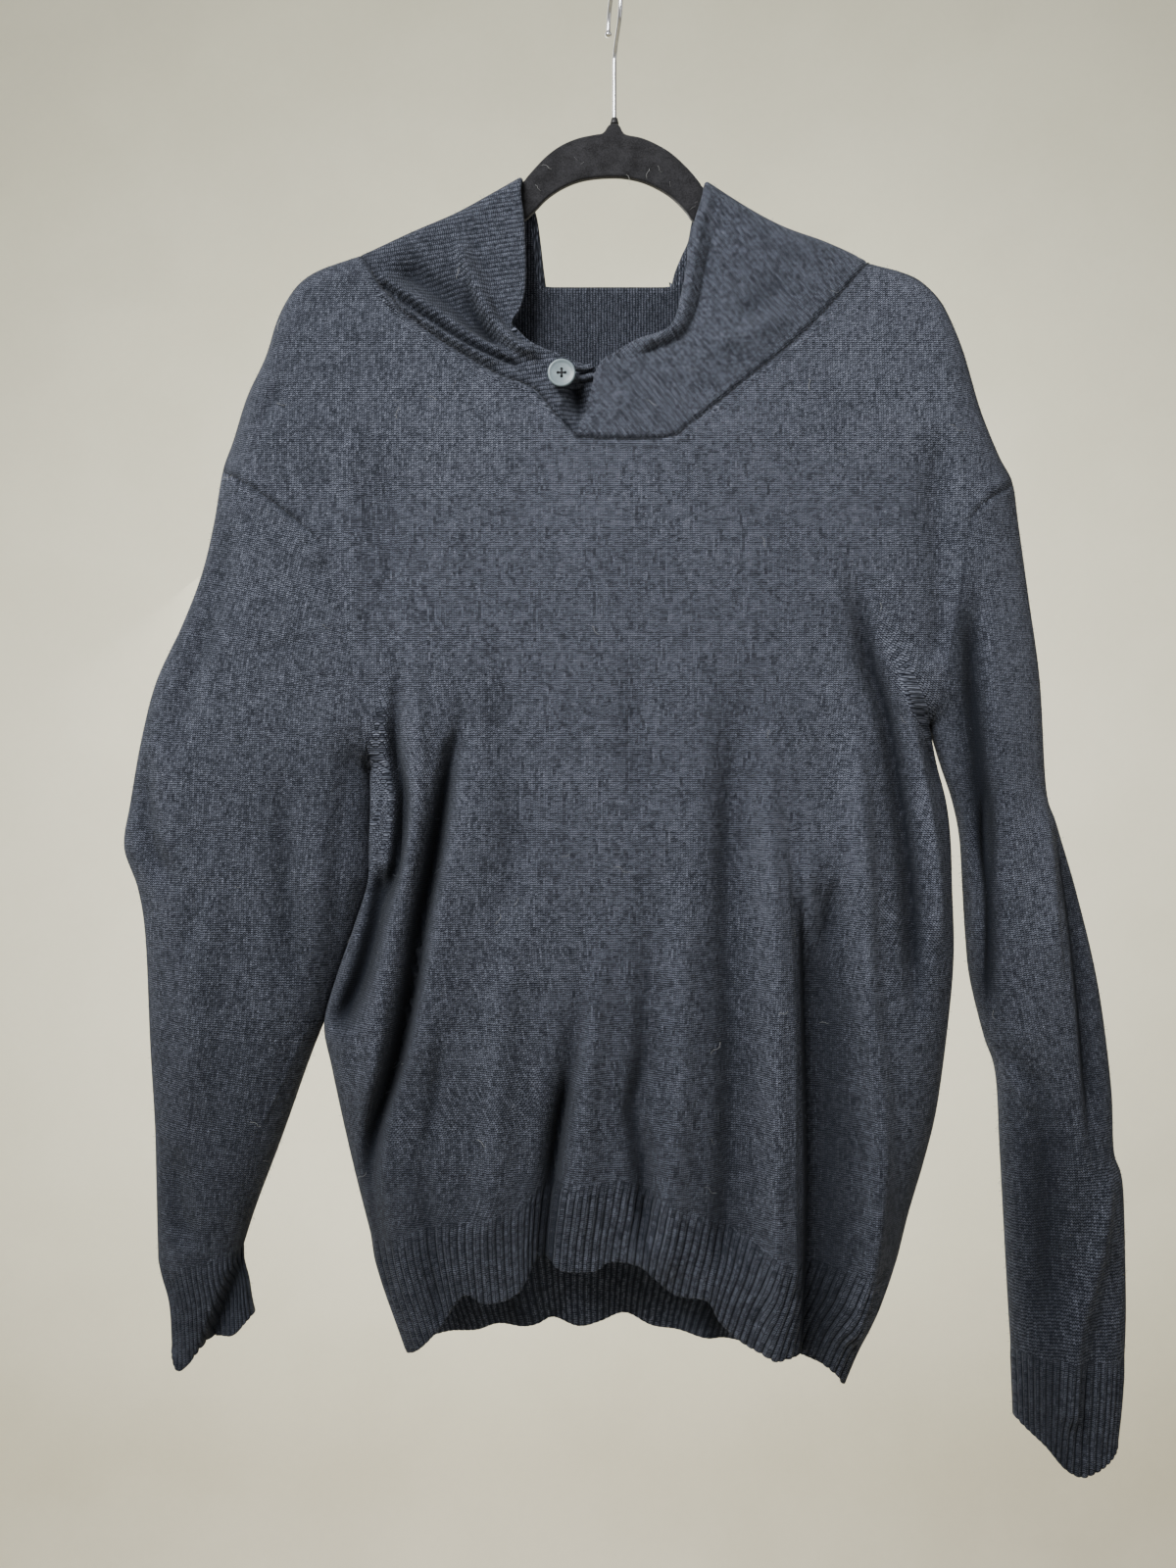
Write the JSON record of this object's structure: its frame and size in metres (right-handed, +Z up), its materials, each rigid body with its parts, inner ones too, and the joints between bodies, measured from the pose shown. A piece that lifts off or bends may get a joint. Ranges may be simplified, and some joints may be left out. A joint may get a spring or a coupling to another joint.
{
  "type": "shawl collar sweater on a hanger",
  "caption": "Long-sleeved fine-knit pullover with a buttoned shawl collar and ribbed hem and cuffs, hanging on a thin flocked hanger with a wire hook.",
  "frame": {"origin": "the inside top of the hook's bend, where a rail or a peg carries the hanger", "axes": "+Z up, -Y out of the sweater's front, +X to the viewer's right along the hanger"},
  "size_m": [0.6619, 0.0826, 0.9823],
  "materials": {
    "jersey": "fine-gauge plain knit in dark heathered blue-charcoal wool",
    "rib": "rib knit in the same dark yarn",
    "collar": "doubled fine rib knit in the same dark yarn",
    "cord": "thin knitted cord in the same dark yarn",
    "button": "semi-gloss grey-blue four-hole button",
    "thread": "black sewing thread",
    "flock": "plastic with black velvet flock",
    "grommet": "plain black plastic",
    "wire": "bright chromed steel wire"
  },
  "bodies": {
    "root": {"front": "jersey", "back": "jersey", "sleeve_left": "jersey", "sleeve_right": "jersey", "hem_front": "rib", "hem_back": "rib", "cuff_left": "rib", "cuff_right": "rib", "collar_left": "collar", "collar_right": "collar", "collar_back": "collar", "collar_fall": "collar", "button_loop": "cord", "button": "button", "button_shank": "thread", "hanger": "flock", "grommet": "grommet", "hook": "wire"}
  },
  "joints": []
}
